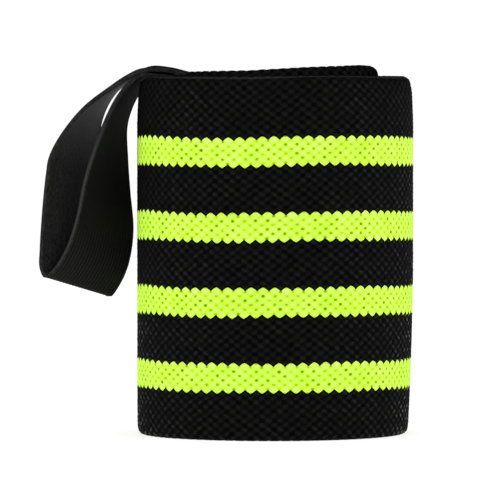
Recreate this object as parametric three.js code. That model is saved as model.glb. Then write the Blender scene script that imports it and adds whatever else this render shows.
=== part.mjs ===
// A rolled wrist wrap: one long knitted elastic band wound up from its thumb-loop end, with the loop
// of elastic tape brought up out of the hollow and over the rim, and a hook tab closing the outer end.
// Millimetres and degrees. +Z is up and the roll stands on its lower edge. Angles go round the roll's
// axis from the right side (0) through the back (90) and the left (180) to the front (270).
import * as THREE from "three";

// The knitted band and the way it is rolled
const WRAP_LENGTH = 460;
const WRAP_WIDTH = 78;
const WRAP_THICKNESS = 2.5;
const ROLL_WIDTH = 59.9;
const TURN_PITCH = 3.4;
const INNER_END_ANGLE = 120;
const BAND_STEP = 7.5;
const OUTER_END_RISE = 0.9;
const OUTER_END_RISE_SPAN = 75;
const FOOT_TAPER = 1.0;

// The tape of the thumb loop
const TAPE_WIDTH = 20;
const TAPE_THICKNESS = 0.8;
const TAPE_STEPS = 96;
const TAPE_POINTS_ACROSS = 5;

// The hook tab under the band's outer end
const TAB_LENGTH = 50;
const TAB_UNDER_BAND = 15;
const TAB_HEIGHT = 66;
const TAB_THICKNESS = 1.2;
const TAB_CORNER = 8;
const TAB_STEPS = 24;
const TAB_ROWS = 8;
const SEAT_GAP = 0.3;

const BLACK_KNIT = { color: 0x111211, roughness: 0.9, metalness: 0 };
const BLACK_TAPE = { color: 0x161616, roughness: 0.8, metalness: 0 };
const BLACK_HOOK = { color: 0x0d0d0d, roughness: 0.7, metalness: 0 };

// The band's wall from its lower edge up: how far it leans in towards the axis, its half thickness,
// and the share of the lower right side's taper that shows at that height.
const WALL_SECTION = [
  { up: 0, lean: 0.9, half: 0.85, taper: 1 },
  { up: 0.8, lean: 0.5, half: 1.15, taper: 1 },
  { up: 2.5, lean: 0.12, half: 1.25, taper: 0.95 },
  { up: 8, lean: 0, half: 1.25, taper: 0.75 },
  { up: 20, lean: 0, half: 1.25, taper: 0.3 },
  { up: 34, lean: 0, half: 1.25, taper: 0 },
  { up: 68, lean: 0, half: 1.25, taper: 0 },
  { up: 74.5, lean: 0.25, half: 1.25, taper: 0 },
  { up: 77, lean: 0.7, half: 1.15, taper: 0 },
  { up: WRAP_WIDTH, lean: 1.15, half: 0.8, taper: 0 },
];

// How far the rim rises or dips, by angle from the band's inner end: every turn is pulled down where the
// thumb loop crosses it, and the innermost one is pushed up at the front.
const RIM_LIFT = [
  { angle: 0, lift: -2.15 },
  { angle: 76, lift: -1.4 },
  { angle: 91, lift: 0.95 },
  { angle: 137, lift: 1.2 },
  { angle: 173, lift: 1.95 },
  { angle: 216, lift: 2.4 },
  { angle: 265, lift: 1.9 },
  { angle: 325, lift: 0.2 },
  { angle: 355, lift: -1.3 },
  { angle: 395, lift: -1.05 },
  { angle: 436, lift: -0.6 },
  { angle: 455, lift: 0.3 },
  { angle: 500, lift: 0 },
  { angle: 722, lift: 0 },
  { angle: 742, lift: -0.5 },
  { angle: 788, lift: -0.35 },
  { angle: 803, lift: 0 },
];

// The thumb loop's tape from one sewn end to the other: where its near and far edges show from the
// front, how deep its middle lies, and how far its middle bows out from between the edges.
const TAPE_ROUTE = [
  { nearX: -18.6, nearZ: 56, farX: -11.2, farZ: 56, midY: 5.5, bow: 2.7 },
  { nearX: -18.6, nearZ: 66, farX: -11.2, farZ: 66, midY: 5.5, bow: 2.7 },
  { nearX: -18, nearZ: 73.5, farX: -10.6, farZ: 73, midY: 5.2, bow: 2.5 },
  { nearX: -17.6, nearZ: 76.6, farX: -10.1, farZ: 75.8, midY: 4.9, bow: 2.1 },
  { nearX: -20.3, nearZ: 77.5, farX: -13.6, farZ: 76.75, midY: 4.9, bow: 0.4 },
  { nearX: -24.8, nearZ: 78.1, farX: -20.6, farZ: 78, midY: 4.8, bow: 0 },
  { nearX: -28.5, nearZ: 78.2, farX: -26.5, farZ: 78.8, midY: 4.4, bow: 0 },
  { nearX: -30.9, nearZ: 76.3, farX: -28.5, farZ: 75.6, midY: 4, bow: 0 },
  { nearX: -33.4, nearZ: 73, farX: -30.4, farZ: 72.4, midY: 3.5, bow: 0 },
  { nearX: -36.1, nearZ: 67.5, farX: -32, farZ: 67.3, midY: 3.5, bow: 0 },
  { nearX: -38.7, nearZ: 60.4, farX: -31.9, farZ: 60, midY: 3.5, bow: 0 },
  { nearX: -40.3, nearZ: 55, farX: -31.4, farZ: 52.8, midY: 3.5, bow: 0 },
  { nearX: -41.9, nearZ: 47.3, farX: -30.7, farZ: 44, midY: 3.5, bow: 0 },
  { nearX: -44.1, nearZ: 40.6, farX: -31.8, farZ: 36.6, midY: 3.5, bow: 0 },
  { nearX: -46.9, nearZ: 36, farX: -34, farZ: 31.75, midY: 3.5, bow: 0 },
  { nearX: -49, nearZ: 34.5, farX: -35.6, farZ: 29.9, midY: 3.5, bow: 0 },
  { nearX: -49.9, nearZ: 36.4, farX: -37.1, farZ: 32, midY: 3.5, bow: 0 },
  { nearX: -49.85, nearZ: 40.2, farX: -37.8, farZ: 35.8, midY: 3.5, bow: 0 },
  { nearX: -49.2, nearZ: 49.6, farX: -38.4, farZ: 45.6, midY: 3.5, bow: 0 },
  { nearX: -48.45, nearZ: 56.6, farX: -38.9, farZ: 53.4, midY: 3.5, bow: 0 },
  { nearX: -47.8, nearZ: 60.3, farX: -39, farZ: 58, midY: 3.5, bow: 0 },
  { nearX: -45.4, nearZ: 64.95, farX: -38.5, farZ: 63.5, midY: 3.5, bow: 0 },
  { nearX: -40.45, nearZ: 71.05, farX: -37, farZ: 70.1, midY: 3.5, bow: 0 },
  { nearX: -34.7, nearZ: 75.5, farX: -34.25, farZ: 74.8, midY: 3.7, bow: 0 },
  { nearX: -31.3, nearZ: 77.8, farX: -30.9, farZ: 77.35, midY: 4, bow: 0 },
  { nearX: -28.2, nearZ: 79.25, farX: -26.6, farZ: 79.85, midY: 4.4, bow: 0 },
  { nearX: -24.9, nearZ: 79.45, farX: -22.2, farZ: 79.65, midY: 4.8, bow: 0 },
  { nearX: -22, nearZ: 79.15, farX: -17.8, farZ: 78.6, midY: 4.85, bow: -0.1 },
  { nearX: -19.3, nearZ: 78.4, farX: -12.6, farZ: 77.6, midY: 4.9, bow: -0.5 },
  { nearX: -16.4, nearZ: 77.4, farX: -8.7, farZ: 76.55, midY: 4.8, bow: -1.3 },
  { nearX: -16.5, nearZ: 73.5, farX: -8.9, farZ: 73.2, midY: 5, bow: -2.3 },
  { nearX: -17.4, nearZ: 66, farX: -9.8, farZ: 66, midY: 5.2, bow: -2.8 },
  { nearX: -17.4, nearZ: 56, farX: -9.8, farZ: 56, midY: 5.2, bow: -2.8 },
];

const radians = THREE.MathUtils.degToRad;
const smooth = THREE.MathUtils.smoothstep;

// Sizes that follow from the driving ones. The roll is measured across its outermost turn, so its
// left and right sides are half a turn apart on the spiral.
const RIGHT_SIDE = 3 * 360 - INNER_END_ANGLE;
const LEFT_SIDE = RIGHT_SIDE - 180;
const INNER_RADIUS =
  (ROLL_WIDTH - WRAP_THICKNESS - (TURN_PITCH * (RIGHT_SIDE + LEFT_SIDE)) / 360) / 2;
const SPIRAL_GROWTH = TURN_PITCH / (2 * Math.PI);
const OUTER_END = THREE.MathUtils.radToDeg(
  (Math.sqrt(INNER_RADIUS ** 2 + 2 * SPIRAL_GROWTH * WRAP_LENGTH) - INNER_RADIUS) / SPIRAL_GROWTH,
);
const TAB_DEGREES_PER_MM = 180 / (Math.PI * spiralRadius(OUTER_END - 360));
const TAB_START = OUTER_END - TAB_UNDER_BAND * TAB_DEGREES_PER_MM;

// The value of one column of a table at a place between its rows.
function between(table, key, column, at) {
  const next = table.findIndex((row) => row[key] >= at);
  if (next === 0) return table[0][column];
  if (next < 0) return table[table.length - 1][column];
  const share = THREE.MathUtils.inverseLerp(table[next - 1][key], table[next][key], at);
  return THREE.MathUtils.lerp(table[next - 1][column], table[next][column], share);
}

// The radius of the even spiral at an angle from the band's inner end.
function spiralRadius(angle) {
  return INNER_RADIUS + (TURN_PITCH * angle) / 360;
}

// The band's middle surface leaves the even spiral before its outer end to make room for the tab.
function bandRadius(angle) {
  return spiralRadius(angle) + OUTER_END_RISE * smooth(angle, TAB_START - OUTER_END_RISE_SPAN, TAB_START);
}

function onRoll(angle, radius, height) {
  const round = radians(INNER_END_ANGLE + angle);
  return new THREE.Vector3(radius * Math.cos(round), radius * Math.sin(round), height);
}

// How far the roll is drawn in at its lower right side.
function taperAt(angle, share) {
  return FOOT_TAPER * share * ((1 + Math.cos(radians(INNER_END_ANGLE + angle))) / 2) ** 2;
}

// A closed solid through a run of rings. Each ring goes along one face and back along the other, so
// point i of a ring faces point n - 1 - i across the thickness.
function loft(rings) {
  const count = rings[0].length;
  const last = (rings.length - 1) * count;
  const faces = [];
  for (let start = 0; start < last; start += count) {
    for (let i = 0; i < count; i += 1) {
      const next = (i + 1) % count;
      faces.push(start + i, start + count + i, start + count + next);
      faces.push(start + i, start + count + next, start + next);
    }
  }
  for (let i = 0; i < count / 2 - 1; i += 1) {
    const across = count - 1 - i;
    faces.push(i, i + 1, across - 1, i, across - 1, across);
    faces.push(last + i, last + across, last + across - 1, last + i, last + across - 1, last + i + 1);
  }
  return new THREE.BufferGeometry().setFromPoints(rings.flat()).setIndex(faces);
}

// The knitted band, wound in a spiral.
function wrapBand() {
  const steps = Math.ceil(OUTER_END / BAND_STEP);
  const rings = [];
  for (let step = 0; step <= steps; step += 1) {
    const angle = (OUTER_END * step) / steps;
    const lift = between(RIM_LIFT, "angle", "lift", angle);
    const wallPoint = (row, side) => {
      const radius = bandRadius(angle) + side * row.half - row.lean - taperAt(angle, row.taper);
      return onRoll(angle, radius, row.up * (1 + lift / WRAP_WIDTH));
    };
    const outside = WALL_SECTION.map((row) => wallPoint(row, 1));
    const inside = WALL_SECTION.map((row) => wallPoint(row, -1)).reverse();
    rings.push([...outside, ...inside]);
  }
  return loft(rings);
}

// The hook tab: it starts between the last two turns and runs on past the band's end, lying on the
// turn below, with its free corners rounded.
function hookTab() {
  const rings = [];
  for (let step = 0; step <= TAB_STEPS; step += 1) {
    const along = TAB_LENGTH * Math.sin((step / TAB_STEPS) * (Math.PI / 2));
    const angle = TAB_START + along * TAB_DEGREES_PER_MM;
    const seat = spiralRadius(angle - 360) + WRAP_THICKNESS / 2 + SEAT_GAP;
    const intoCorner = Math.max(0, along - (TAB_LENGTH - TAB_CORNER));
    const trim = TAB_CORNER - Math.sqrt(TAB_CORNER ** 2 - intoCorner ** 2);
    const low = (WRAP_WIDTH - TAB_HEIGHT) / 2 + trim;
    const tabPoint = (row, offset) => {
      const z = THREE.MathUtils.lerp(low, WRAP_WIDTH - low, row / TAB_ROWS);
      const lean = between(WALL_SECTION, "up", "lean", z);
      const taper = taperAt(angle, between(WALL_SECTION, "up", "taper", z));
      return onRoll(angle, seat + offset - lean - taper, z);
    };
    const rows = [...Array(TAB_ROWS + 1).keys()];
    const outside = rows.map((row) => tabPoint(row, TAB_THICKNESS));
    const inside = rows.map((row) => tabPoint(row, 0)).reverse();
    rings.push([...outside, ...inside]);
  }
  return loft(rings);
}

// The thumb loop: tape of constant width carried between its near and far edges. The depth of each
// edge is what the width leaves once the edges' offset across the front view is taken off.
function thumbLoop() {
  const edges = TAPE_ROUTE.map((row) => {
    const across = Math.hypot(row.farX - row.nearX, row.farZ - row.nearZ);
    const depth = Math.sqrt(TAPE_WIDTH ** 2 - across ** 2) / 2;
    return {
      near: new THREE.Vector3(row.nearX, row.midY - depth, row.nearZ),
      far: new THREE.Vector3(row.farX, row.midY + depth, row.farZ),
      bow: new THREE.Vector3(row.bow, 0, 0),
    };
  });
  const curveOf = (name) => new THREE.CatmullRomCurve3(edges.map((edge) => edge[name]));
  const near = curveOf("near");
  const far = curveOf("far");
  const bow = curveOf("bow");
  const rings = [];
  for (let step = 0; step <= TAPE_STEPS; step += 1) {
    const t = step / TAPE_STEPS;
    const across = far.getPoint(t).sub(near.getPoint(t));
    const along = near.getTangent(t).add(far.getTangent(t));
    const normal = new THREE.Vector3().crossVectors(along, across).normalize();
    const point = (i, side) => {
      const share = i / (TAPE_POINTS_ACROSS - 1);
      const bulge = bow.getPoint(t).x * (1 - (2 * share - 1) ** 2);
      const offset = bulge + (side * TAPE_THICKNESS) / 2;
      return near.getPoint(t).addScaledVector(across, share).addScaledVector(normal, offset);
    };
    const places = [...Array(TAPE_POINTS_ACROSS).keys()];
    const over = places.map((i) => point(i, 1));
    const under = places.map((i) => point(i, -1)).reverse();
    rings.push([...over, ...under]);
  }
  return loft(rings);
}

function piece(name, geometry, finish) {
  const mesh = new THREE.Mesh(geometry, new THREE.MeshStandardMaterial(finish));
  mesh.name = name;
  geometry.computeVertexNormals();
  return mesh;
}

const wristWrap = new THREE.Group();
wristWrap.add(piece("wrap_band", wrapBand(), BLACK_KNIT));
wristWrap.add(piece("thumb_loop", thumbLoop(), BLACK_TAPE));
wristWrap.add(piece("hook_tab", hookTab(), BLACK_HOOK));

// The origin is on the floor, in the middle of the footprint.
const footprint = new THREE.Box3().setFromObject(wristWrap);
const middle = footprint.getCenter(new THREE.Vector3());
wristWrap.position.set(-middle.x, -middle.y, -footprint.min.z);

export default wristWrap;
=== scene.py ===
import bpy
import numpy as np
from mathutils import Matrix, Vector


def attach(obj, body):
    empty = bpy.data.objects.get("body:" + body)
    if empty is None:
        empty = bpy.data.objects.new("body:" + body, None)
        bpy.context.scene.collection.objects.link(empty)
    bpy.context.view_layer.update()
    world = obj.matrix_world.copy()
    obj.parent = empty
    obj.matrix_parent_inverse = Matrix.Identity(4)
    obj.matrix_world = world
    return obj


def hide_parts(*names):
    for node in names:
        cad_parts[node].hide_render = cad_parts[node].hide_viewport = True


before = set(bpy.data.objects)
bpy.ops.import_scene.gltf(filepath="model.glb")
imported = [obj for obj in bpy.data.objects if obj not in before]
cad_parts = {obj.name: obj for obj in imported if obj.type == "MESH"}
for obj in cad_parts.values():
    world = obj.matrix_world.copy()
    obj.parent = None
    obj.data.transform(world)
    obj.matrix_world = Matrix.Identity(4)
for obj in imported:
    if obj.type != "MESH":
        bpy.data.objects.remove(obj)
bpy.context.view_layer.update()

# Sizes are in millimetres and become metres in the meshes. Angles are in degrees from the band's inner
# end, and turn the way that leads from the right side through the back to the left.
mm = 0.001

rollShape = {
    "axis": (9.59, -0.918),  # where the roll's axis stands
    "innerEnd": 120.0,  # the inner end's place, counted from the right side
    "innerRadius": 20.4833,
    "turnPitch": 3.4,
    "length": 460.0,
    "width": 78.0,
    "thickness": 2.5,
    "edgeRound": 1.2,
    "edgePoints": 6,  # round the rim and round the foot
    "endRound": 1.3,
    "endRings": (0.05, 0.15, 0.35, 0.65),  # extra rings close to a piece's ends
    "endShare": 0.97,  # how far an end is rounded off before it is closed
    "endRise": 0.9,  # room for the hook tab under the outer end
    "endRiseSpan": 75.0,
    "footTaper": 1.0,  # how far the right side's foot is drawn in
    "wallUp": (0, 0.8, 2.5, 8, 20, 34, 68, 74.5, 77, 78),
    "wallLean": (0.35, 0.2, 0.05, 0, 0, 0, 0, 0.25, 0.7, 1.15),
    "wallTaper": (1, 1, 0.95, 0.75, 0.3, 0, 0, 0, 0, 0),
    "liftAngle": (0, 76, 91, 137, 173, 216, 265, 325, 355, 395, 436, 455, 500, 722, 742, 788, 803),
    "rimLift": (-2.15, -1.4, 0.95, 1.2, 1.95, 2.4, 1.9, 0.2, -1.3, -1.05, -0.6, 0.3, 0, 0, -0.5, -0.35, 0),
}

tabShape = {
    "length": 50.0,
    "underBand": 15.0,
    "height": 66.0,
    "thickness": 1.2,
    "corner": 8.0,
    "seatGap": 0.3,
    "alongStep": 0.36,
    "cornerSteps": 36,
    "rowStep": 0.36,
    "innerRows": 24,
    "edgeRound": 0.45,
    "edgePoints": 5,
    "endRound": 0.6,
    "endShare": 0.97,
    "weavePitch": 1.7,
    "weaveHeight": 0.12,
    "seamInset": 3.6,
    "specular": 0.12,
    "fibreNoise": (3400.0, 3.0),  # scale and detail
    "weaveTone": 0.22,
    "dullness": (0.52, -0.12),  # middle, and how it changes on raised bars
    "bump": (0.00010, 0.5),
    "weaveStops": (
        (0.1, (0.0014, 0.0014, 0.0015)),
        (0.5, (0.0048, 0.0048, 0.0049)),
        (1.0, (0.0150, 0.0150, 0.0155)),
    ),
}


def smoothStep(x, low, high):
    # 3t^2 - 2t^3, where t is the share of the way from low to high, held between 0 and 1
    t = np.clip((x - low) / (high - low), 0, 1)
    return t * t * (3 - 2 * t)


def spiralRadius(angle):
    # the even spiral: inner radius plus one pitch for each whole turn
    return rollShape["innerRadius"] + rollShape["turnPitch"] * angle / 360


def angleAt(along):
    # the angle at which the spiral's own length, r0 a + g a^2 / 2 with a in radians, reaches along
    growth = rollShape["turnPitch"] / (2 * np.pi)
    start = rollShape["innerRadius"]
    return np.degrees((np.sqrt(start**2 + 2 * growth * along) - start) / growth)


def alongAt(angle):
    # the spiral's length from the inner end up to an angle
    growth = rollShape["turnPitch"] / (2 * np.pi)
    turned = np.radians(angle)
    return rollShape["innerRadius"] * turned + growth * turned**2 / 2


outerEnd = angleAt(rollShape["length"])
tabDegreesPerMm = 180 / (np.pi * spiralRadius(outerEnd - 360))
tabStart = outerEnd - tabShape["underBand"] * tabDegreesPerMm


def onRoll(angle, radius, height):
    # polar place round the roll's axis as x, y, z
    turned = np.radians(rollShape["innerEnd"] + angle)
    x = rollShape["axis"][0] + radius * np.cos(turned)
    y = rollShape["axis"][1] + radius * np.sin(turned)
    return np.stack(np.broadcast_arrays(x, y, height), axis=-1)


def wallLean(angle, up):
    # how far the wall stands in from the spiral: the section's lean plus the taper of the right side's foot
    lean = np.interp(up, rollShape["wallUp"], rollShape["wallLean"])
    share = np.interp(up, rollShape["wallUp"], rollShape["wallTaper"])
    facing = (1 + np.cos(np.radians(rollShape["innerEnd"] + angle))) / 2
    return lean + rollShape["footTaper"] * share * facing**2


def bandPoint(along, up, out, raised):
    # a place in the band: along its length, up its width, out from its middle surface, raised a little
    angle = angleAt(along)
    rise = rollShape["endRise"] * smoothStep(angle, tabStart - rollShape["endRiseSpan"], tabStart)
    lift = np.interp(angle, rollShape["liftAngle"], rollShape["rimLift"])
    radius = spiralRadius(angle) + rise - wallLean(angle, up) + out
    return onRoll(angle, radius, up * (1 + lift / rollShape["width"]) + raised)


def loftQuads(rings, around):
    # four-sided faces between neighbouring rings of a closed profile
    ring = np.arange(rings - 1)[:, None] * around
    here = np.arange(around)[None, :]
    after = (here + 1) % around
    corners = [ring + here, ring + around + here, ring + around + after, ring + after]
    return np.stack(corners, axis=-1).reshape(-1, 4)


def addPiece(name, points, faces, uvName, cornerUv, smooth, material):
    # a mesh from points in millimetres, with the map's value at each corner of each face
    mesh = bpy.data.meshes.new(name)
    mesh.from_pydata((points.reshape(-1, 3) * mm).tolist(), [], faces)
    layer = mesh.uv_layers.new(name=uvName)
    layer.data.foreach_set("uv", cornerUv.astype(np.float32).ravel())
    mesh.polygons.foreach_set("use_smooth", smooth)
    mesh.materials.append(material)
    mesh.update()
    piece = bpy.data.objects.new(name, mesh)
    bpy.context.collection.objects.link(piece)
    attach(piece, "root")
    return piece


def makePiece(name, rows, uvName, uvRows, material):
    # rows[i, j] is point j of ring i; the rings are joined and both ends are closed with one face each.
    # uvRows has one column more than rows, for the far side of the faces that close each ring.
    rings, around = rows.shape[:2]
    quads = loftQuads(rings, around)
    startCap = np.arange(around)
    endCap = np.arange(around)[::-1] + (rings - 1) * around
    strips = uvRows[:-1, :-1], uvRows[1:, :-1], uvRows[1:, 1:], uvRows[:-1, 1:]
    corners = np.stack(strips, axis=2).reshape(-1, 2)
    corners = np.concatenate([corners, uvRows[0, :-1], uvRows[-1, -2::-1]])
    smooth = np.ones(len(quads) + 2, dtype=bool)
    smooth[-2:] = False
    faces = quads.tolist() + [startCap.tolist(), endCap.tolist()]
    print(name, "has", len(quads) * 2 + 2 * (around - 2), "triangles")
    return addPiece(name, rows, faces, uvName, corners, smooth, material)


def closed(values):
    # repeats the first column after the last
    return np.concatenate([values, values[:, :1]], axis=1)


# Node helpers

def newMaterial(name, specular, roughness=0.5):
    # an empty finish: its shader, with the plain values on the shader's own sockets
    material = bpy.data.materials.new(name)
    material.use_nodes = True
    shader = material.node_tree.nodes["Principled BSDF"]
    shader.inputs["Specular IOR Level"].default_value = specular
    shader.inputs["Roughness"].default_value = roughness
    return material, material.node_tree, shader


def calc(tree, operation, *values):
    # one Math node; each value is a socket or a number
    node = tree.nodes.new("ShaderNodeMath")
    node.operation = operation
    for socket, value in zip(node.inputs, values):
        if isinstance(value, bpy.types.NodeSocket):
            tree.links.new(value, socket)
        else:
            socket.default_value = value
    return node.outputs[0]


def mapRange(tree, value, fromLow, fromHigh, toLow, toHigh):
    # a smooth step between two levels
    node = tree.nodes.new("ShaderNodeMapRange")
    node.interpolation_type = "SMOOTHSTEP"
    tree.links.new(value, node.inputs["Value"])
    node.inputs["From Min"].default_value = fromLow
    node.inputs["From Max"].default_value = fromHigh
    node.inputs["To Min"].default_value = toLow
    node.inputs["To Max"].default_value = toHigh
    return node.outputs["Result"]


def colourRamp(tree, value, stops):
    # stops are (place, colour) pairs
    node = tree.nodes.new("ShaderNodeValToRGB")
    ramp = node.color_ramp
    while len(ramp.elements) < len(stops):
        ramp.elements.new(1.0)
    for element, (place, colour) in zip(ramp.elements, stops):
        element.position = place
        element.color = (*colour, 1.0)
    tree.links.new(value, node.inputs["Fac"])
    return node.outputs["Color"]


def mixColour(tree, share, first, second):
    # first where share is 0, second where it is 1
    node = tree.nodes.new("ShaderNodeMix")
    node.data_type = "RGBA"
    tree.links.new(share, node.inputs[0])
    inputs = {socket.identifier: socket for socket in node.inputs}
    outputs = {socket.identifier: socket for socket in node.outputs}
    tree.links.new(first, inputs["A_Color"])
    tree.links.new(second, inputs["B_Color"])
    return outputs["Result_Color"]


def uvParts(tree, uvName):
    # the two coordinates of a piece's own UV map
    uvMap = tree.nodes.new("ShaderNodeUVMap")
    uvMap.uv_map = uvName
    parts = tree.nodes.new("ShaderNodeSeparateXYZ")
    tree.links.new(uvMap.outputs["UV"], parts.inputs["Vector"])
    return parts.outputs["X"], parts.outputs["Y"]


def cellNoise(tree, first, second):
    # one even random number for each pair of whole numbers
    pair = tree.nodes.new("ShaderNodeCombineXYZ")
    tree.links.new(first, pair.inputs["X"])
    tree.links.new(second, pair.inputs["Y"])
    node = tree.nodes.new("ShaderNodeTexWhiteNoise")
    node.noise_dimensions = "2D"
    tree.links.new(pair.outputs["Vector"], node.inputs["Vector"])
    return node.outputs["Value"]


def noiseAt(tree, vector, scale, detail):
    # cloudy noise from 0 to 1, with scale waves to the metre
    node = tree.nodes.new("ShaderNodeTexNoise")
    node.inputs["Scale"].default_value = scale
    node.inputs["Detail"].default_value = detail
    tree.links.new(vector, node.inputs["Vector"])
    return node.outputs["Fac"]


def objectPlace(tree):
    # the place in the piece's own frame, in metres
    return tree.nodes.new("ShaderNodeTexCoord").outputs["Object"]


def addBump(tree, shader, height, distance, strength):
    # tilts the shading by a height, distance metres deep
    node = tree.nodes.new("ShaderNodeBump")
    node.inputs["Distance"].default_value = distance
    node.inputs["Strength"].default_value = strength
    tree.links.new(height, node.inputs["Height"])
    tree.links.new(node.outputs["Normal"], shader.inputs["Normal"])


# The knitted band: a staggered net of rounded stitches with a small hole at each crossing, and lime
# stripes that take in whole stitches, so their edges are scalloped.
knit = {
    "stitchLength": 2.42,
    "halfRow": 0.948,  # from one row of stitches to the next, which is offset by half a stitch
    "stripeMiddle": 13.5,  # height of the lowest stripe's middle
    "stripeCore": 2.5,  # rows from a stripe's middle to the middle of its outermost stitches
    "scallop": (1.2, 0.06),  # roundness of the scallops, and how much more at a stripe's upper edge
    "valley": 0.15,
    "stripePitch": 17,
    "stripes": 4,
    "driftWaves": ((0.07, 0.41, 0.23, 0.0), (0.05, 0.19, -0.37, 1.3)),  # size, rates and start, see ripple
    "rowWave": (0.08, 0.53, 0.31, 0.0),
    "sway": (0.06, 0.003, 0.273, -1.54),  # size at the foot, more for each mm up, rate and start
    "reliefHeight": 0.25,
    "reliefLevel": 0.62,
    "rimLevel": 0.45,
    "rounding": 0.4,
    "stitchSizes": (0.8, 1.15, 61),  # least, most, and how many stitches until they repeat
    "alongStep": 0.484,
    "upStep": 0.387,
    "fineEdge": 6.0,  # how far a plain face keeps fine rows beside the rim and the foot
    "plainRows": 7,
    "plainGap": 2.0,  # from the fine rows to the first plain one
    "split": (372.0, 660.0),  # angles where the band is parted into pieces, out of sight
    "specular": 0.08,
    "fibreNoise": (2600.0, 3.0),  # scale and detail
    "cloudNoise": (260.0, 2.0),
    "raggedNoise": (900.0, 2.0),
    "tone": 0.27,
    # painted shade that falls from each stitch's middle towards the holes
    "crossingShade": -0.045,
    "stitchTone": 0.14,
    "noiseTone": 0.36,
    "limeHoleShade": (0.3, 1.9),  # where the painted shade in a hole begins and where it is deepest, on the scale of crossing
    "limeShadeDepth": (0.16, 0.36),  # least, and how much more
    "limeRingShade": -0.05,
    "limeTip": (-0.8, -0.1, 0.14),  # rows from the stripe's edge, and how much paler
    # painted shade in the black yarn's holes
    "blackHoleShade": (-0.8, 1.6),
    "blackPush": 4.0,
    "blackShadeDepth": (0.20, 0.35),
    "blackGap": (0.15, 0.6, -0.3),  # rows from the stripe's edge, and how much darker
    "blackTone": -0.08,
    "legWidth": (0.06, 0.32),
    "legLength": (0.25, 0.5),
    "legShare": (0.2, 0.8),  # least, and how much more
    "legTone": 0.10,
    "legSlant": 0.4,  # share of the legs that slant one way
    "legGloss": -0.75,
    "bump": (0.00012, 0.35),
    "limeStops": (
        (0.0, (0.10, 0.19, 0.003)),
        (0.25, (0.24, 0.46, 0.003)),
        (0.45, (0.42, 0.74, 0.014)),
        (0.70, (0.51, 0.87, 0.062)),
        (1.0, (0.62, 0.92, 0.160)),
    ),
    "blackStops": (
        (0.0, (0.0003, 0.0003, 0.0003)),
        (0.25, (0.0008, 0.0008, 0.0008)),
        (0.70, (0.0034, 0.0034, 0.0032)),
        (1.0, (0.0085, 0.0085, 0.0080)),
    ),
    # painted highlight along the outermost turn's rim
    "rimHighlightRow": 67.9,  # the row that lies on the rim's outer bend
    "rimHighlightWidth": (0.10, 0.45),
    "rimHighlightShare": 0.5,
    "rimHighlightFrom": 226.0,  # twice the stitch number at which the outermost turn begins
    "rimHighlightStops": (
        (0.3, (0.009, 0.009, 0.009)),
        (0.7, (0.034, 0.034, 0.033)),
    ),
}


def ripple(stitch, row, wave):
    # a sine of the stitch and row numbers: its size, its rate for each of them and its start
    size, perStitch, perRow, start = wave
    return size * np.sin(perStitch * stitch + perRow * row + start)


def stitchNet(along, up):
    # Oblique coordinates of the net, one unit square to a stitch: half the row number added to and taken
    # from the stitch number, with a slow drift so that the rows aren't ruler straight. The quarters put the
    # lowest stripe's middle between two rows of holes.
    stitch = along / knit["stitchLength"]
    row = (up - knit["stripeMiddle"]) / knit["halfRow"]
    drift = sum(ripple(stitch, row, wave) for wave in knit["driftWaves"])
    size, perUp, perStitch, start = knit["sway"]
    sway = (size + perUp * up) * np.sin(perStitch * stitch + start)
    row = row + sway + ripple(stitch, row, knit["rowWave"])
    stitch = stitch + drift
    return stitch + row / 2 + 0.25, stitch - row / 2 - 0.25


leastSize, mostSize, sizeRepeat = knit["stitchSizes"]
stitchSize = np.random.default_rng(11).uniform(leastSize, mostSize, (sizeRepeat, sizeRepeat))


def stitchRelief(netA, netB):
    # cosines of both coordinates give 0 at the holes and 1 on each stitch; a root rounds the stitches
    pillow = (1 - (np.cos(2 * np.pi * netA) + np.cos(2 * np.pi * netB)) / 2) / 2
    size = stitchSize[np.floor(netA).astype(int) % sizeRepeat, np.floor(netB).astype(int) % sizeRepeat]
    return pillow ** knit["rounding"] * (0.5 + 0.5 * size)


def bandProfile(outerUp, innerUp):
    # the closed section: up the outer face, round the rim, down the inner face, round the foot
    turn = np.linspace(0, np.pi, rollShape["edgePoints"] + 2)[1:-1]
    edge = rollShape["edgeRound"]
    top = rollShape["width"] - edge
    up = np.concatenate([outerUp, top + edge * np.sin(turn), innerUp[::-1], edge - edge * np.sin(turn)])
    out = np.concatenate([0 * outerUp + 1, np.cos(turn), 0 * innerUp - 1, -np.cos(turn)])
    rise = np.concatenate([0 * outerUp, np.sin(turn), 0 * innerUp, -np.sin(turn)])
    overEdge = edge * np.minimum(turn, np.pi - turn)
    netUp = np.concatenate([outerUp, top + overEdge, innerUp[::-1], edge - overEdge])
    return up, out, rise, netUp


def faceRows(fine):
    # heights of a face's rows: fine rows all over, or only beside the rim and the foot
    low, near, gap = rollShape["edgeRound"], knit["fineEdge"], knit["plainGap"]
    high = rollShape["width"] - low
    even = np.linspace(low, high, int((high - low) / knit["upStep"]))
    if fine:
        return even
    beside = (even < low + near) | (even > high - near)
    plain = np.linspace(low + near + gap, high - near - gap, knit["plainRows"])
    return np.sort(np.concatenate([even[beside], plain]))


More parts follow.
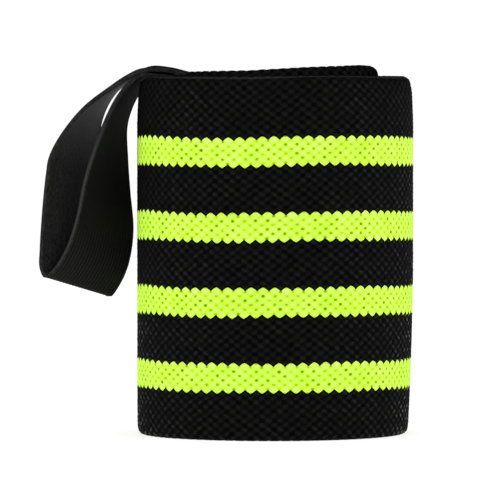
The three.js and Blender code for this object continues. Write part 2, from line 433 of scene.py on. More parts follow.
def bandPiece(name, alongFrom, alongTo, outerFine, innerFine, material):
    # rings along the spiral; the relief stands along the section's own normal, the ends are rounded off
    length, half = rollShape["length"], rollShape["thickness"] / 2
    even = np.linspace(alongFrom, alongTo, int((alongTo - alongFrom) / knit["alongStep"]))
    nearEnd = np.array(rollShape["endRings"])
    along = np.union1d(even, np.concatenate([nearEnd + alongFrom, alongTo - nearEnd]))[:, None]
    up, out, rise, netUp = bandProfile(faceRows(outerFine), faceRows(innerFine))
    netA, netB = stitchNet(along, netUp[None, :])
    level = knit["reliefLevel"] + (knit["rimLevel"] - knit["reliefLevel"]) * np.abs(rise)
    relief = knit["reliefHeight"] * (stitchRelief(netA, netB) - level)
    fromEnd = np.minimum(along, length - along)
    endShare = np.clip(1 - fromEnd / rollShape["endRound"], 0, rollShape["endShare"])
    thin = np.sqrt(1 - endShare**2)
    rows = bandPoint(along, up, out * (half + relief) * thin, rise * relief)
    uv = np.stack([netA, netB], axis=-1)
    return makePiece(name, rows, "stitchNet", closed(uv), material)


def fromMiddle(tree, value):
    # distance from the middle of the unit that the value lies in, 0 to 0.5
    return calc(tree, "ABSOLUTE", calc(tree, "SUBTRACT", calc(tree, "FRACT", value), 0.5))


def pastStripe(tree, row, netA, netB):
    # Rows past a lime stripe's edge, below 0 inside it. The stripe's middle comes from the row number, and
    # its edge is a run of scallops, (1 - s^p)^(1/p) high, with s from 0 at the middle of an outermost
    # stitch to 1 beside it.
    stripe = calc(tree, "ROUND", calc(tree, "DIVIDE", row, knit["stripePitch"]))
    stripe = calc(tree, "MINIMUM", calc(tree, "MAXIMUM", stripe, 0.0), knit["stripes"] - 1.0)
    middle = calc(tree, "MULTIPLY", stripe, knit["stripePitch"])
    above = calc(tree, "SUBTRACT", row, middle)
    side = calc(tree, "SIGN", above)
    outermost = calc(tree, "MULTIPLY_ADD", side, knit["stripeCore"], middle)
    stitch = calc(tree, "SUBTRACT", calc(tree, "ADD", netA, netB), outermost)
    beside = fromMiddle(tree, calc(tree, "MULTIPLY_ADD", stitch, 0.5, -0.25))
    beside = calc(tree, "MULTIPLY", beside, 2.0)
    roundness, upperMore = knit["scallop"]
    power = calc(tree, "MULTIPLY_ADD", side, upperMore, roundness)
    bump = calc(tree, "SUBTRACT", 1.0, calc(tree, "POWER", beside, power))
    bump = calc(tree, "POWER", bump, calc(tree, "DIVIDE", 1.0, power))
    reach = calc(tree, "ADD", calc(tree, "MAXIMUM", bump, knit["valley"]), knit["stripeCore"])
    return calc(tree, "SUBTRACT", calc(tree, "ABSOLUTE", above), reach)


def yarnLeg(tree, net, run):
    # one slanting stroke in each stitch: narrow in one coordinate of the net, longer in the other
    width = mapRange(tree, fromMiddle(tree, net), *knit["legWidth"], 1.0, 0.0)
    length = mapRange(tree, fromMiddle(tree, run), *knit["legLength"], 1.0, 0.0)
    return calc(tree, "MULTIPLY", width, length)


def knitMaterial():
    # The stitches make one light net with darker holes: the tone falls a little from each stitch's middle
    # outwards and steeply into the holes, which are of uneven depth, all of it painted shade. Lime stitches
    # are paler at a stripe's edge. In the black yarn the painted shade in the holes is wider and ragged,
    # pushed about by a noise, a dark gap follows each stripe, and each stitch shows one glossy leg that
    # slants either way. A painted highlight follows the outer rim, where the row number passes the rim's
    # own.
    material, tree, shader = newMaterial("stripedKnit", knit["specular"])
    netA, netB = uvParts(tree, "stitchNet")
    row = calc(tree, "SUBTRACT", calc(tree, "SUBTRACT", netA, netB), 0.5)
    pastEdge = pastStripe(tree, row, netA, netB)
    waveA = calc(tree, "COSINE", calc(tree, "MULTIPLY", netA, 2 * np.pi))
    waveB = calc(tree, "COSINE", calc(tree, "MULTIPLY", netB, 2 * np.pi))
    crossing = calc(tree, "ADD", waveA, waveB)  # 2 at a hole, -2 on a stitch
    floorA, floorB = calc(tree, "FLOOR", netA), calc(tree, "FLOOR", netB)
    eachStitch = cellNoise(tree, floorA, floorB)
    eachLeg = cellNoise(tree, floorB, floorA)
    eachHole = cellNoise(tree, calc(tree, "ROUND", netA), calc(tree, "ROUND", netB))
    place = objectPlace(tree)
    fibre = noiseAt(tree, place, *knit["fibreNoise"])
    cloud = noiseAt(tree, place, *knit["cloudNoise"])
    ragged = noiseAt(tree, place, *knit["raggedNoise"])
    # painted shade: the tone falls from each stitch's middle towards the holes
    tone = calc(tree, "MULTIPLY_ADD", crossing, knit["crossingShade"], knit["tone"])
    tone = calc(tree, "MULTIPLY_ADD", eachStitch, knit["stitchTone"], tone)
    tone = calc(tree, "MULTIPLY_ADD", calc(tree, "ADD", fibre, cloud), knit["noiseTone"], tone)

    # lime yarn
    # painted shade in the lime yarn's holes, of uneven depth
    holeShade = mapRange(tree, crossing, *knit["limeHoleShade"], 0.0, 1.0)
    least, more = knit["limeShadeDepth"]
    depth = calc(tree, "MULTIPLY_ADD", calc(tree, "POWER", eachHole, 2.0), more, least)
    limeTone = calc(tree, "SUBTRACT", tone, calc(tree, "MULTIPLY", holeShade, depth))
    limeTone = calc(tree, "MULTIPLY_ADD", crossing, knit["limeRingShade"], limeTone)  # painted shade, greener round each hole
    tipFrom, tipTo, paler = knit["limeTip"]
    limeTone = calc(tree, "ADD", limeTone, mapRange(tree, pastEdge, tipFrom, tipTo, 0.0, paler))
    lime = colourRamp(tree, limeTone, knit["limeStops"])

    # black yarn
    push = calc(tree, "MULTIPLY_ADD", ragged, knit["blackPush"], -knit["blackPush"] / 2)
    # painted shade in the black yarn's holes, made ragged by a noise
    holeShade = mapRange(tree, calc(tree, "ADD", crossing, push), *knit["blackHoleShade"], 0.0, 1.0)
    gapFrom, gapTo, darker = knit["blackGap"]
    gap = mapRange(tree, pastEdge, gapFrom, gapTo, 1.0, 0.0)
    legA, legB = yarnLeg(tree, netA, netB), yarnLeg(tree, netB, netA)
    slant = calc(tree, "GREATER_THAN", eachStitch, knit["legSlant"])
    leg = calc(tree, "MULTIPLY_ADD", slant, calc(tree, "SUBTRACT", legA, legB), legB)
    least, more = knit["legShare"]
    leg = calc(tree, "MULTIPLY", leg, calc(tree, "MULTIPLY_ADD", eachLeg, more, least))
    leg = calc(tree, "MULTIPLY", leg, calc(tree, "SUBTRACT", 1.0, calc(tree, "MAXIMUM", holeShade, gap)))
    least, more = knit["blackShadeDepth"]
    depth = calc(tree, "MULTIPLY_ADD", eachHole, more, least)
    blackTone = calc(tree, "SUBTRACT", tone, calc(tree, "MULTIPLY", holeShade, depth))
    blackTone = calc(tree, "ADD", blackTone, knit["blackTone"])
    blackTone = calc(tree, "MULTIPLY_ADD", leg, knit["legTone"], blackTone)
    blackTone = calc(tree, "MULTIPLY_ADD", gap, darker, blackTone)
    black = colourRamp(tree, blackTone, knit["blackStops"])

    # the painted highlight along the outermost turn's rim
    fromRim = calc(tree, "ABSOLUTE", calc(tree, "SUBTRACT", row, knit["rimHighlightRow"]))
    rimHighlightMask = mapRange(tree, fromRim, *knit["rimHighlightWidth"], knit["rimHighlightShare"], 0.0)
    outermost = calc(tree, "GREATER_THAN", calc(tree, "ADD", netA, netB), knit["rimHighlightFrom"])
    rimHighlight = colourRamp(tree, fibre, knit["rimHighlightStops"])

    yarn = mixColour(tree, calc(tree, "LESS_THAN", pastEdge, 0.0), black, lime)
    yarn = mixColour(tree, calc(tree, "MULTIPLY", rimHighlightMask, outermost), yarn, rimHighlight)
    tree.links.new(yarn, shader.inputs["Base Color"])
    dullness = calc(tree, "MULTIPLY_ADD", leg, knit["legGloss"], 1.0)
    tree.links.new(dullness, shader.inputs["Roughness"])
    addBump(tree, shader, fibre, *knit["bump"])
    return material


knitFinish = knitMaterial()
splitAlong = [alongAt(angle) for angle in knit["split"]]
bandInner = bandPiece("bandInnerTurn", 0.0, splitAlong[0], False, True, knitFinish)
bandMiddle = bandPiece("bandMiddleTurn", splitAlong[0], splitAlong[1], False, False, knitFinish)
bandOuter = bandPiece("bandOuterTurn", splitAlong[1], rollShape["length"], True, False, knitFinish)
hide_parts("wrap_band")
print("knitted band wound")


# The thumb loop: woven elastic tape with ribs along it and a firm selvage at both edges
tape = {
    "width": 20.0,
    "thickness": 0.8,
    "step": 0.55,
    "routeSamples": 4000,  # for measuring the route
    "ribs": 21,
    "pointsPerRib": 4,
    "ribHeight": (0.06, 0.02),  # on the ribbed face and on the napped face
    "ribLevel": 0.7,  # share of a rib's height that lies below the tape's face
    "ribFade": (0.3, 0.9),  # from the edge, where the ribs begin
    "selvagePoints": 9,
    "selvageOut": (0.35, 0.35),  # how far the near and far selvages stand out past the tape's width
    "bead": 0.1,  # extra half thickness of the selvages
    "beadFade": (0.3, 1.2),  # from the edge, where the extra thickness ends
    "specular": 0.045,
    "fibreNoise": (3400.0, 3.0),  # scale and detail
    "napNoise": (1500.0, 4.0),
    "groove": (0.2, 0.5),  # from a rib's middle, where the groove begins and is deepest
    "ribTone": 0.42,
    "fibreTone": 0.5,
    "pickPitch": 0.8,
    "pickTone": 0.015,
    "shut": (18.0, 24.0, 58.0, 76.0),  # along the tape, where the bend shuts the ribs
    "shutTone": 0.5,
    "shutShare": 0.85,
    "paintedLight": (60.0, 82.0, 96.0, 108.0),  # along the tape, where the ribbed face is painted lighter, painted light on a stretch in shade
    "paintedLightTone": (0.8, 1.3),  # elsewhere, and how much more
    "napTone": (-0.48, 1.9),
    "napPaintedShading": (1.0, 13.0, -0.06, 0.34),  # across the napped face: painted shading, darker at the near edge and lighter away from it
    "edgeHighlightStretch": (42.0, 58.0, 76.0, 90.0),  # along the tape, where a painted highlight runs along the near selvage
    "edgeHighlightWidth": 0.24,
    "dullness": (0.75, 0.55),  # of the ribbed face and of the napped face
    "bump": (0.00012, 0.5),
    "ribStops": (
        (0.0, (0.0030, 0.0028, 0.0032)),
        (0.2, (0.0096, 0.0091, 0.0101)),
        (0.5, (0.0109, 0.0103, 0.0112)),
        (1.0, (0.0200, 0.0192, 0.0204)),
    ),
    "napStops": (
        (0.0, (0.0055, 0.0053, 0.0055)),
        (0.5, (0.0178, 0.0176, 0.0178)),
        (1.0, (0.0300, 0.0300, 0.0300)),
    ),
    # colours of the painted highlight on the near selvage
    "edgeHighlightStops": (
        (0.2, (0.016, 0.016, 0.016)),
        (0.8, (0.046, 0.046, 0.045)),
    ),
    "nearX": (-18.6, -18.6, -18, -17.6, -20.3, -24.8, -28.5, -30.9, -33.4, -36.1, -38.7, -40.3, -41.9,
              -44.1, -46.9, -49, -49.9, -49.85, -49.2, -48.45, -47.8, -45.4, -40.45, -34.7, -31.3, -28.2,
              -24.9, -22, -19.3, -16.4, -16.5, -17.4, -17.4),
    "nearZ": (56, 66, 73.5, 76.6, 77.5, 78.1, 78.2, 76.3, 73, 67.5, 60.4, 55, 47.3, 40.6, 36, 34.5, 36.4,
              40.2, 49.6, 56.6, 60.3, 64.95, 71.05, 75.5, 77.8, 79.25, 79.45, 79.15, 78.4, 77.4, 73.5,
              66, 56),
    "farX": (-11.2, -11.2, -10.6, -10.1, -13.6, -20.6, -26.5, -28.5, -30.4, -32, -31.9, -31.4, -30.7,
             -31.8, -34, -35.6, -37.1, -37.8, -38.4, -38.9, -39, -38.5, -37, -34.25, -30.9, -26.6, -22.2,
             -17.8, -12.6, -8.7, -8.9, -9.8, -9.8),
    "farZ": (56, 66, 73, 75.8, 76.75, 78, 78.8, 75.6, 72.4, 67.3, 60, 52.8, 44, 36.6, 31.75, 29.9, 32,
             35.8, 45.6, 53.4, 58, 63.5, 70.1, 74.8, 77.35, 79.85, 79.65, 78.6, 77.6, 76.55, 73.2, 66,
             56),
    "midY": (5.5, 5.5, 5.2, 4.9, 4.9, 4.8, 4.4, 4, 3.5, 3.5, 3.5, 3.5, 3.5, 3.5, 3.5, 3.5, 3.5, 3.5, 3.5,
             3.5, 3.5, 3.5, 3.5, 3.7, 4, 4.4, 4.8, 4.85, 4.9, 4.8, 5, 5.2, 5.2),
    "bow": (2.7, 2.7, 2.5, 2.1, 0.4, 0, 0, 0, 0, 0, 0, 0, 0, 0, 0, 0, 0, 0, 0, 0, 0, 0, 0, 0, 0, 0, 0,
            -0.1, -0.5, -1.3, -2.3, -2.8, -2.8),
}


def rootSpan(start, end, otherwise):
    # square root of the distance between knots, or another value where they coincide
    span = np.sqrt(np.linalg.norm(end - start, axis=1))[:, None]
    return np.where(span < 1e-4, otherwise, span)


def throughKnots(knots, place):
    # Centripetal spline through the knots: a cubic between neighbours, whose tangents weigh each
    # span by the square root of its length.
    wide = np.vstack([2 * knots[0] - knots[1], knots, 2 * knots[-1] - knots[-2]])
    start = np.clip(np.floor(place).astype(int), 0, len(knots) - 2)
    share = (place - start)[:, None]
    first, here, after, last = (wide[start + i] for i in range(4))
    middle = rootSpan(here, after, 1.0)
    before = rootSpan(first, here, middle)
    behind = rootSpan(after, last, middle)
    leave = (here - first) / before - (after - first) / (before + middle) + (after - here) / middle
    leave = middle * leave
    reach = (after - here) / middle - (last - here) / (middle + behind) + (last - after) / behind
    reach = middle * reach
    cube = 2 * here - 2 * after + leave + reach
    square = -3 * here + 3 * after - 2 * leave - reach
    return ((cube * share + square) * share + leave) * share + here


def unit(vectors):
    # the same directions, one long
    return vectors / np.linalg.norm(vectors, axis=-1, keepdims=True)


def tapeFrame(place):
    # Near edge, direction across to the far edge, face normal and bow at places along the route. The
    # edges' depths follow from the tape's width, halved on either side of the middle.
    axis = np.array([*rollShape["axis"], 0.0])
    columns = ("nearX", "nearZ", "farX", "farZ", "midY", "bow")
    nearX, nearZ, farX, farZ, midY, bow = (np.array(tape[column], float) for column in columns)
    depth = np.sqrt(tape["width"] ** 2 - (farX - nearX) ** 2 - (farZ - nearZ) ** 2) / 2
    near = throughKnots(np.stack([nearX, midY - depth, nearZ], axis=1), place) + axis
    far = throughKnots(np.stack([farX, midY + depth, farZ], axis=1), place) + axis
    bulge = throughKnots(np.stack([bow, 0 * bow, 0 * bow], axis=1), place)[:, 0]
    heading = unit(np.gradient(near, place, axis=0)) + unit(np.gradient(far, place, axis=0))
    return near, far - near, unit(np.cross(heading, far - near)), bulge


def evenPlaces(step):
    # places along the route that are evenly spaced on the tape's middle line
    dense = np.linspace(0, len(tape["nearX"]) - 1, tape["routeSamples"])
    near, across, normal, bulge = tapeFrame(dense)
    line = near + across / 2 + normal * bulge[:, None]
    run = np.concatenate([[0], np.cumsum(np.linalg.norm(np.diff(line, axis=0), axis=1))])
    even = np.linspace(0, run[-1], int(run[-1] / step))
    return np.interp(even, run, dense), even


def tapePoint(frameHere, share, off):
    # share of the way across, bowed by a parabola, and off the middle surface along the normal
    near, across, normal, bulge = (part[:, None] for part in frameHere)
    arch = bulge * (1 - (2 * share - 1) ** 2)
    return near + across * share[..., None] + normal * (arch + off)[..., None]


def stretchOf(tree, along, ends):
    # 1 along a stretch of the tape, with a smooth step at both ends
    begin = mapRange(tree, along, ends[0], ends[1], 0.0, 1.0)
    return calc(tree, "MULTIPLY", begin, mapRange(tree, along, ends[2], ends[3], 1.0, 0.0))


def tapeMaterial():
    # Across the tape the map runs over the ribbed face to the far selvage and back over the napped face.
    # The ribbed face is darker, with a groove between ribs, which bends shut along part of the loop, and
    # painted light lifts the ribbed face along a stretch in shade. The napped face is mottled, with painted
    # shading across it, and a painted highlight runs along the near selvage over one stretch.
    material, tree, shader = newMaterial("elasticTape", tape["specular"])
    across, along = uvParts(tree, "tapeWeave")
    place = objectPlace(tree)
    fibre = noiseAt(tree, place, *tape["fibreNoise"])
    nap = noiseAt(tree, place, *tape["napNoise"])
    fibreTone = calc(tree, "MULTIPLY_ADD", fibre, tape["fibreTone"], -tape["fibreTone"] / 2)

    # ribbed face
    inRib = fromMiddle(tree, calc(tree, "DIVIDE", across, tape["width"] / tape["ribs"]))
    ribTone = mapRange(tree, inRib, *tape["groove"], tape["ribTone"], 0.0)
    ribTone = calc(tree, "ADD", ribTone, fibreTone)
    pick = calc(tree, "COSINE", calc(tree, "MULTIPLY", along, 2 * np.pi / tape["pickPitch"]))
    ribTone = calc(tree, "MULTIPLY_ADD", pick, tape["pickTone"], ribTone)
    # painted light: the ribbed face is lighter along one stretch
    elsewhere, more = tape["paintedLightTone"]
    paintedLight = calc(tree, "MULTIPLY_ADD", stretchOf(tree, along, tape["paintedLight"]), more, elsewhere)
    ribTone = calc(tree, "MULTIPLY", ribTone, paintedLight)
    shut = calc(tree, "MULTIPLY", stretchOf(tree, along, tape["shut"]), tape["shutShare"])
    toShut = calc(tree, "SUBTRACT", tape["shutTone"], ribTone)
    ribTone = calc(tree, "MULTIPLY_ADD", toShut, shut, ribTone)
    ribColour = colourRamp(tree, ribTone, tape["ribStops"])

    # napped face
    fromNear = calc(tree, "PINGPONG", across, tape["width"])
    least, more = tape["napTone"]
    napTone = calc(tree, "ADD", calc(tree, "MULTIPLY_ADD", nap, more, least), fibreTone)
    # painted shading across the napped face
    napTone = calc(tree, "ADD", napTone, mapRange(tree, fromNear, *tape["napPaintedShading"]))
    napColour = colourRamp(tree, napTone, tape["napStops"])

    napped = calc(tree, "GREATER_THAN", across, tape["width"])
    bothFaces = mixColour(tree, napped, ribColour, napColour)
    # painted highlight along the near selvage
    edgeHighlightMask = mapRange(tree, fromNear, 0.0, tape["edgeHighlightWidth"], 1.0, 0.0)
    edgeHighlightMask = calc(tree, "MULTIPLY", edgeHighlightMask, stretchOf(tree, along, tape["edgeHighlightStretch"]))
    edgeHighlightColour = colourRamp(tree, fibre, tape["edgeHighlightStops"])
    tree.links.new(mixColour(tree, edgeHighlightMask, bothFaces, edgeHighlightColour), shader.inputs["Base Color"])
    ribbedDull, nappedDull = tape["dullness"]
    dullness = calc(tree, "MULTIPLY_ADD", napped, nappedDull - ribbedDull, ribbedDull)
    tree.links.new(dullness, shader.inputs["Roughness"])
    relief = calc(tree, "MULTIPLY_ADD", nap, napped, fibre)
    addBump(tree, shader, relief, *tape["bump"])
    return material


def thumbLoop(places, run, material):
    # The section carried along the route: ribbed face, far selvage, napped face, near selvage. The
    # selvages are half a rounded square, from square roots of a sine and a cosine.
    half, width = tape["thickness"] / 2, tape["width"]
    turn = np.linspace(0, np.pi, tape["selvagePoints"] + 2)[1:-1]
    inset = half / width
    corner = inset * np.sqrt(np.sin(turn))
    across = np.sign(np.cos(turn)) * np.sqrt(np.abs(np.cos(turn)))
    flat = np.linspace(inset, 1 - inset, tape["ribs"] * tape["pointsPerRib"] + 1)
    share = np.concatenate([flat, 1 - inset + corner, flat[::-1], inset - corner])
    side = np.concatenate([flat * 0 + 1, across, flat * 0 - 1, -across])
    fromEdge = np.minimum(share, 1 - share) * width
    tall = np.where(side > 0, *tape["ribHeight"])
    ribs = tall * (np.abs(np.sin(np.pi * tape["ribs"] * share)) - tape["ribLevel"])
    ribs = ribs * smoothStep(fromEdge, *tape["ribFade"])
    bead = tape["bead"] * (1 - smoothStep(fromEdge, *tape["beadFade"]))
    nearOut, farOut = (out / width for out in tape["selvageOut"])
    spread = share * (1 + nearOut + farOut) - nearOut
    rows = tapePoint(tapeFrame(places), spread[None, :], (side * (half + ribs + bead))[None, :])
    overEdge = inset * (2 * turn / np.pi - 1)
    mapAcross = np.concatenate([flat, 1 + overEdge, 2 - flat[::-1], 2 + overEdge, [2 + inset]]) * width
    uv = np.stack(np.broadcast_arrays(mapAcross[None, :], run[:, None]), axis=-1)
    return makePiece("thumbLoopTape", rows, "tapeWeave", uv, material)


tapePlaces, tapeRun = evenPlaces(tape["step"])
loopTape = thumbLoop(tapePlaces, tapeRun, tapeMaterial())
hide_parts("thumb_loop")
print("thumb loop laid,", round(tapeRun[-1], 1), "mm of tape")


# The hook tab: woven backing that lies on the turn below and grips it
def tabMaterial():
    # Plain weave: warp and weft bars take turns in a chequer, the product of two sines. The raised bars
    # are smoother than the sunk ones.
    material, tree, shader = newMaterial("hookBacking", tabShape["specular"])
    along, up = uvParts(tree, "tabWeave")
    rate = 2 * np.pi / tabShape["weavePitch"]
    warp = calc(tree, "SINE", calc(tree, "MULTIPLY", along, rate))
    weft = calc(tree, "SINE", calc(tree, "MULTIPLY", up, rate))
    chequer = calc(tree, "MULTIPLY", warp, weft)
    fibre = noiseAt(tree, objectPlace(tree), *tabShape["fibreNoise"])
    tone = calc(tree, "MULTIPLY_ADD", chequer, tabShape["weaveTone"], fibre)
    tree.links.new(colourRamp(tree, tone, tabShape["weaveStops"]), shader.inputs["Base Color"])
    middle, onRaised = tabShape["dullness"]
    dullness = calc(tree, "MULTIPLY_ADD", chequer, onRaised, middle)
    tree.links.new(dullness, shader.inputs["Roughness"])
    addBump(tree, shader, fibre, *tabShape["bump"])
    return material


def onTab(along, up, off):
    # a place off the tab's middle surface, which follows the turn below it
    angle = tabStart + along * tabDegreesPerMm
    seat = spiralRadius(angle - 360) + rollShape["thickness"] / 2 + tabShape["seatGap"]
    return onRoll(angle, seat + tabShape["thickness"] / 2 + off - wallLean(angle, up), up)


def hookTab(material):
    # Rings along the tab, even ones and then closer ones round the free end's corners, where its height
    # shrinks by a quarter circle. The outer face carries the weave.
    high, corner, length = tabShape["height"], tabShape["corner"], tabShape["length"]
    even = np.linspace(0, length - corner, int((length - corner) / tabShape["alongStep"]), endpoint=False)
    bend = length - corner + corner * np.sin(np.linspace(0, np.pi / 2, tabShape["cornerSteps"]))
    along = np.concatenate([even, bend])[:, None]
    intoCorner = np.maximum(0, along - (length - corner))
    trim = corner - np.sqrt(corner**2 - intoCorner**2)
    turn = np.linspace(0, np.pi, tabShape["edgePoints"] + 2)[1:-1]
    edge = tabShape["edgeRound"] / high
    outer = np.linspace(edge, 1 - edge, int(high / tabShape["rowStep"]))
    inner = np.linspace(1 - edge, edge, tabShape["innerRows"])
    share = np.concatenate([outer, 1 - edge + edge * np.sin(turn), inner, edge - edge * np.sin(turn)])
    side = np.concatenate([outer * 0 + 1, np.cos(turn), inner * 0 - 1, -np.cos(turn)])
    low = (rollShape["width"] - high) / 2 + trim
    up = low + (rollShape["width"] - 2 * low) * share[None, :]
    half = tabShape["thickness"] / 2
    endShare = np.clip(1 - (length - along) / tabShape["endRound"], 0, tabShape["endShare"])
    thin = np.sqrt(1 - endShare**2)
    rate = 2 * np.pi / tabShape["weavePitch"]
    weave = tabShape["weaveHeight"] * (np.sin(rate * along) * np.sin(rate * up) - 1) / 2
    rows = onTab(along, up, side[None, :] * (half + np.where(side > 0, weave, 0)) * thin)
    uv = np.stack(np.broadcast_arrays(along, up), axis=-1)
    return makePiece("hookTab", rows, "tabWeave", closed(uv), material)


tabPiece = hookTab(tabMaterial())
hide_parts("hook_tab")
print("hook tab seated")


# Lockstitching: short bars of thread that rise out of the cloth and dip back into it
thread = {
    "radius": 0.27,
    "stitch": 2.3,
    "gap": 0.8,
    "arch": 0.34,
    "sink": 0.16,
    "rings": 7,
    "sides": 6,
    "ends": (0.02, 0.98),  # the part of an arch that is made
    "bluntness": 0.4,  # the smaller, the blunter a bar's ends
    "endBox": (11.5, 3.0, 9.0),  # far and near side from the band's outer end, and in from its edges
    "loopBox": (16.0, 4.0, 3.0),  # the same for the tape's end
    "specular": 0.35,
    "plyPitch": 0.55,
    "plies": 2.0,
    "plyTone": 0.25,
    "fibreNoise": (5200.0, 2.0),  # scale and detail
    "bump": (0.00008, 0.6),
    "threadStops": (
        (0.1, (0.004, 0.004, 0.004)),
        (0.5, (0.013, 0.013, 0.013)),
        (1.0, (0.035, 0.035, 0.036)),
    ),
}


def threadMaterial():
    # two plies twisted round each other show as slanted bars
    material, tree, shader = newMaterial("sewingThread", thread["specular"])
    along, around = uvParts(tree, "threadTwist")
    slant = calc(tree, "DIVIDE", along, thread["plyPitch"])
    slant = calc(tree, "MULTIPLY_ADD", around, thread["plies"], slant)
    ply = calc(tree, "SINE", calc(tree, "MULTIPLY", slant, 2 * np.pi))
    fibre = noiseAt(tree, objectPlace(tree), *thread["fibreNoise"])
    tone = calc(tree, "MULTIPLY_ADD", ply, thread["plyTone"], fibre)
    tree.links.new(colourRamp(tree, tone, thread["threadStops"]), shader.inputs["Base Color"])
    addBump(tree, shader, ply, *thread["bump"])
    return material


def seamPlaces(start, end):
    # splits a straight seam line into stitches: their middles and the line's direction
    run = np.array(end, float) - np.array(start, float)
    length = np.linalg.norm(run)
    count = max(1, int(length / (thread["stitch"] + thread["gap"])))
    middles = np.array(start) + run * ((np.arange(count) + 0.5) / count)[:, None]
    return middles, np.repeat((run / length)[None, :], count, axis=0)


def boxSeam(left, low, right, high):
    # four seam lines round a rectangle
    corners = [(left, low), (right, low), (right, high), (left, high)]
    lines = [seamPlaces(corners[i], corners[(i + 1) % 4]) for i in range(4)]
    return np.concatenate([line[0] for line in lines]), np.concatenate([line[1] for line in lines])


def stitchBars(name, middles, headings, surface, material):
    # Each bar follows the cloth, arched up by a sine, and its radius is a flattened sine of the same share.
    share = np.linspace(*thread["ends"], thread["rings"])
    spin = np.linspace(0, 2 * np.pi, thread["sides"], endpoint=False)
    path = middles[:, None, :] + headings[:, None, :] * ((share - 0.5) * thread["stitch"])[None, :, None]
    along, up = path[..., 0], path[..., 1]
    lift = np.broadcast_to(thread["arch"] * np.sin(np.pi * share) - thread["sink"], along.shape)
    line = surface(along, up, lift)
    normal = unit(surface(along, up, lift + thread["radius"]) - line)
    binormal = unit(np.cross(np.gradient(line, axis=1), normal))
    radius = thread["radius"] * np.sin(np.pi * share) ** thread["bluntness"]
    ring = np.cos(spin)[:, None] * normal[:, :, None, :] + np.sin(spin)[:, None] * binormal[:, :, None, :]
    points = line[:, :, None, :] + ring * radius[None, :, None, None]
    bars, rings, around = points.shape[:3]
    first = np.arange(bars) * rings * around
    quads = (loftQuads(rings, around) + first[:, None, None]).reshape(-1, 4)
    startCap = first[:, None] + np.arange(around)
    endCap = startCap[:, ::-1] + (rings - 1) * around
    caps = np.concatenate([startCap, endCap])
    twist = np.stack(np.meshgrid(share * thread["stitch"], spin / (2 * np.pi), indexing="ij"), axis=-1)
    uv = np.broadcast_to(twist, (bars, rings, around, 2)).reshape(-1, 2)
    corners = uv[np.concatenate([quads.ravel(), caps.ravel()])]
    smooth = np.ones(len(quads) + len(caps), dtype=bool)
    print(name, "has", bars, "stitches")
    return addPiece(name, points, quads.tolist() + caps.tolist(), "threadTwist", corners, smooth, material)


def onBandOutside(along, up, off):
    # a place off the band's outer face
    return bandPoint(along, up, rollShape["thickness"] / 2 + off, 0.0)


def onTabOutside(along, up, off):
    # a place off the tab's outer face
    return onTab(along, up, tabShape["thickness"] / 2 + off)


def onTapeFace(along, across, off):
    # a place off the tape's ribbed face, with the frame read between the rings on either side
    near, wide, normal, bulge = tapeFrame(tapePlaces)
    columns = np.concatenate([near, wide, normal, bulge[:, None]], axis=1)
    here = np.stack([np.interp(along, tapeRun, column) for column in columns.T], axis=-1)
    share = across / tape["width"]
    arch = here[..., 9] * (1 - (2 * share - 1) ** 2) + tape["thickness"] / 2 + off
    return here[..., :3] + here[..., 3:6] * share[..., None] + here[..., 6:9] * arch[..., None]


sewing = threadMaterial()
bandLength, bandHeight, tapeLength = rollShape["length"], rollShape["width"], tapeRun[-1]
far, near, inset = thread["endBox"]
endBox = boxSeam(bandLength - far, inset, bandLength - near, bandHeight - inset)
endSeam = stitchBars("endSeam", *endBox, onBandOutside, sewing)
inset = tabShape["seamInset"]
low = (bandHeight - tabShape["height"]) / 2 + inset
tabBox = boxSeam(tabShape["underBand"] + inset, low, tabShape["length"] - inset, bandHeight - low)
tabSeam = stitchBars("tabSeam", *tabBox, onTabOutside, sewing)
far, near, inset = thread["loopBox"]
loopBox = boxSeam(tapeLength - far, inset, tapeLength - near, tape["width"] - inset)
loopSeam = stitchBars("loopSeam", *loopBox, onTapeFace, sewing)
print("seams sewn")

# The studio: pale floor, soft boxes left, right, overhead and in front, and a camera at the photograph's
# angle
studio = {
    "floorSize": 2.4,
    "floorCells": 8,  # along each side
    "floorColour": (0.36, 0.36, 0.36),
    "floorGlow": 0.7,  # keeps the shadow at the foot faint
    "floorSpecular": 0.1,
    "floorRoughness": 0.9,
    "skyStrength": 1.02,
    "boxes": (
        # name, place in metres, width, height, watts, and whether it shows in gloss
        ("overheadBox", (0.0, -0.1, 1.5), 1.5, 1.5, 4.0, False),
        ("leftBox", (-1.35, -0.45, 0.5), 0.6, 1.0, 5.4, True),
        ("rightBox", (1.35, -0.45, 0.5), 0.6, 1.0, 5.4, True),
        ("frontBox", (0.0, -1.9, 0.9), 1.2, 0.6, 3.0, False),
    ),
    "boxTarget": (0.005, 0.0, 0.045),
    "cameraPlace": (4.315, -1200.918, 73.0),  # in millimetres, as is its target
    "cameraTarget": (4.315, -0.918, 40.85),
    "lens": 401.0,
}


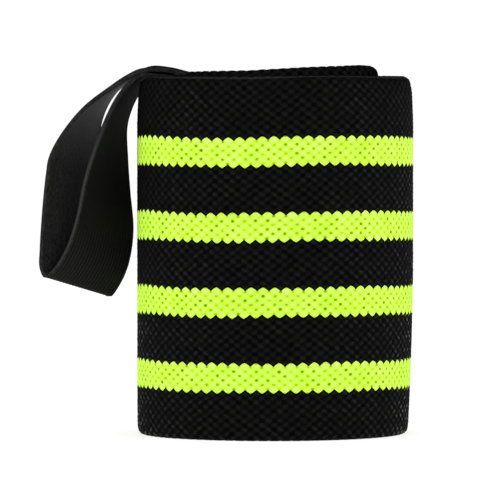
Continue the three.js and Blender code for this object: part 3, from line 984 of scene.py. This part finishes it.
def buildFloor():
    # a flat square grid at the height that the roll stands on
    half, cells = studio["floorSize"] / 2, studio["floorCells"]
    line = np.linspace(-half, half, cells + 1)
    x, y = np.meshgrid(line, line, indexing="ij")
    points = np.stack([x, y, 0 * x], axis=-1).reshape(-1, 3)
    start = (np.arange(cells)[:, None] * (cells + 1) + np.arange(cells)[None, :]).ravel()
    quads = np.stack([start, start + cells + 1, start + cells + 2, start + 1], axis=-1)
    mesh = bpy.data.meshes.new("paleFloor")
    mesh.from_pydata(points.tolist(), [], quads.tolist())
    material, tree, shader = newMaterial("paleFloor", studio["floorSpecular"], studio["floorRoughness"])
    shader.inputs["Base Color"].default_value = (*studio["floorColour"], 1.0)
    shader.inputs["Emission Color"].default_value = (1.0, 1.0, 1.0, 1.0)
    shader.inputs["Emission Strength"].default_value = studio["floorGlow"]
    mesh.materials.append(material)
    floor = bpy.data.objects.new("paleFloor", mesh)
    bpy.context.collection.objects.link(floor)


def aimed(name, data, place, target):
    # an object at place that looks at target
    item = bpy.data.objects.new(name, data)
    item.location = place
    item.rotation_euler = (Vector(target) - Vector(place)).to_track_quat("-Z", "Y").to_euler()
    bpy.context.collection.objects.link(item)
    return item


def buildLights():
    # soft boxes aimed at the roll, in a room that is white all round
    for name, place, width, height, watts, glossy in studio["boxes"]:
        light = bpy.data.lights.new(name, "AREA")
        light.shape = "RECTANGLE"
        light.size, light.size_y, light.energy = width, height, watts
        aimed(name, light, place, studio["boxTarget"]).visible_glossy = glossy
    world = bpy.data.worlds.new("paleRoom")
    world.use_nodes = True
    sky = world.node_tree.nodes["Background"]
    sky.inputs["Color"].default_value = (1.0, 1.0, 1.0, 1.0)
    sky.inputs["Strength"].default_value = studio["skyStrength"]
    world.cycles_visibility.glossy = False  # gloss comes from the side boxes alone
    bpy.context.scene.world = world


def buildCamera():
    # a long lens from 1.2 m away, a little above the roll's middle
    camera = bpy.data.cameras.new("photoCamera")
    camera.lens = studio["lens"]
    place = [value * mm for value in studio["cameraPlace"]]
    target = [value * mm for value in studio["cameraTarget"]]
    bpy.context.scene.camera = aimed("photoCamera", camera, place, target)


buildFloor()
buildLights()
buildCamera()
bpy.context.scene.view_settings.view_transform = "Standard"
print("studio lit")
